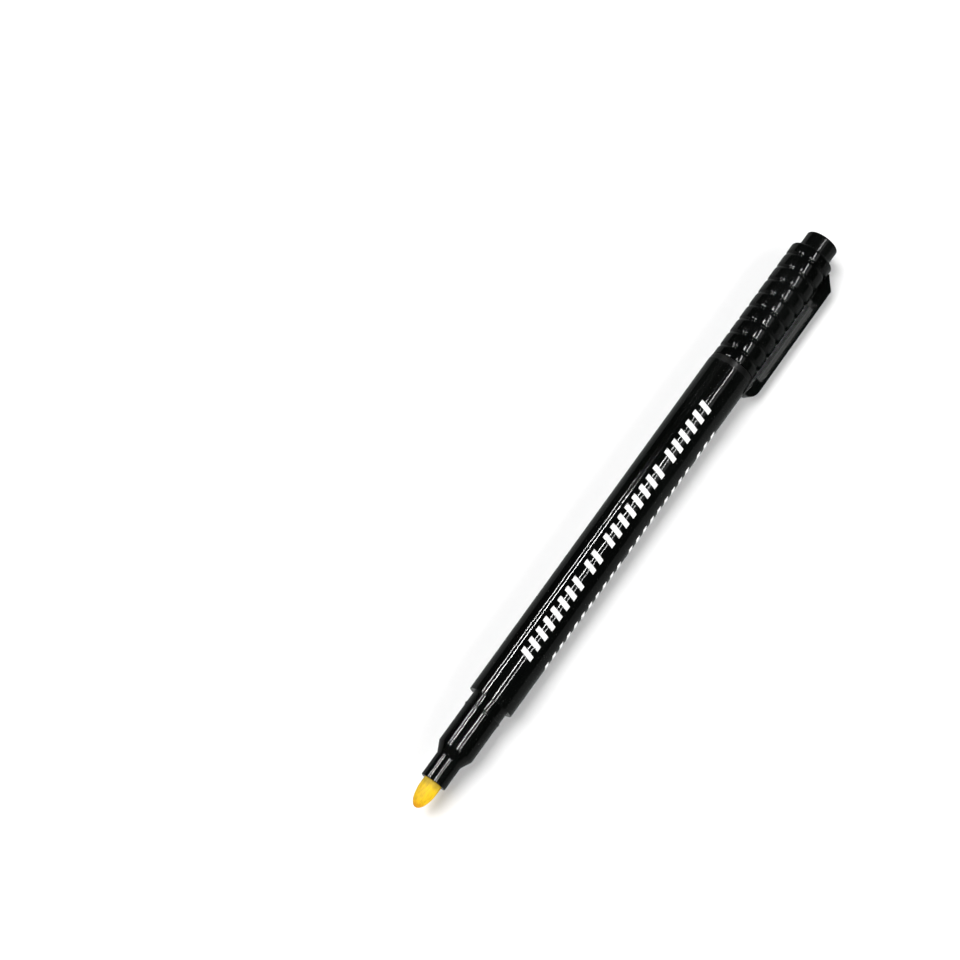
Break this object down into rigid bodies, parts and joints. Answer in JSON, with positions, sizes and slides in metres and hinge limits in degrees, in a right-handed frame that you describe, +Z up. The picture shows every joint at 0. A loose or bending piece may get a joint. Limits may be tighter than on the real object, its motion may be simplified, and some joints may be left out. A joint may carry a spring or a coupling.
{
  "type": "counterfeit detector pen",
  "caption": "Slim felt-tip banknote test pen with a yellow fibre nib and a ribbed clip cap posted on its rear end.",
  "frame": {"origin": "on the surface that the pen lies on, under the middle of the outline of the pen with its cap posted", "axes": "+X along the pen from the nib to the closed end of the cap, +Z up, the clip points down and towards -Y"},
  "size_m": [0.1472, 0.0124, 0.0103],
  "materials": {
    "black_barrel": "polished black moulded plastic",
    "black_section": "polished black moulded plastic",
    "black_cap": "polished black moulded plastic",
    "black_seal": "softer black moulded plastic with a slight haze",
    "nib_fibre": "pressed fibre, soaked yellow",
    "reservoir_fibre": "bundled fibre, soaked pale amber",
    "clear_film": "thin clear film",
    "white_tube": "natural white extruded plastic"
  },
  "bodies": {
    "pen": {"barrel": "black_barrel", "front_section": "black_section", "nib": "nib_fibre", "reservoir_core": "reservoir_fibre", "reservoir_film": "clear_film", "breather_tube": "white_tube", "tail_plug": "black_section"},
    "cap": {"cap_shell": "black_cap", "inner_cap": "black_seal"},
    "clip": {"clip": "black_cap"}
  },
  "joints": [
    {"name": "cap_pull", "type": "slide", "parent": "pen", "child": "cap", "axis": [1, 0, 0], "range_m": [0, 0.03]},
    {"name": "clip_flex", "type": "hinge", "parent": "cap", "child": "clip", "pos_m": [0.0685, -0.00329, 0.00266], "axis": [0, -0.493, 0.87], "range_deg": [0, 4], "stiffness_Nm_per_rad": 0.5}
  ]
}
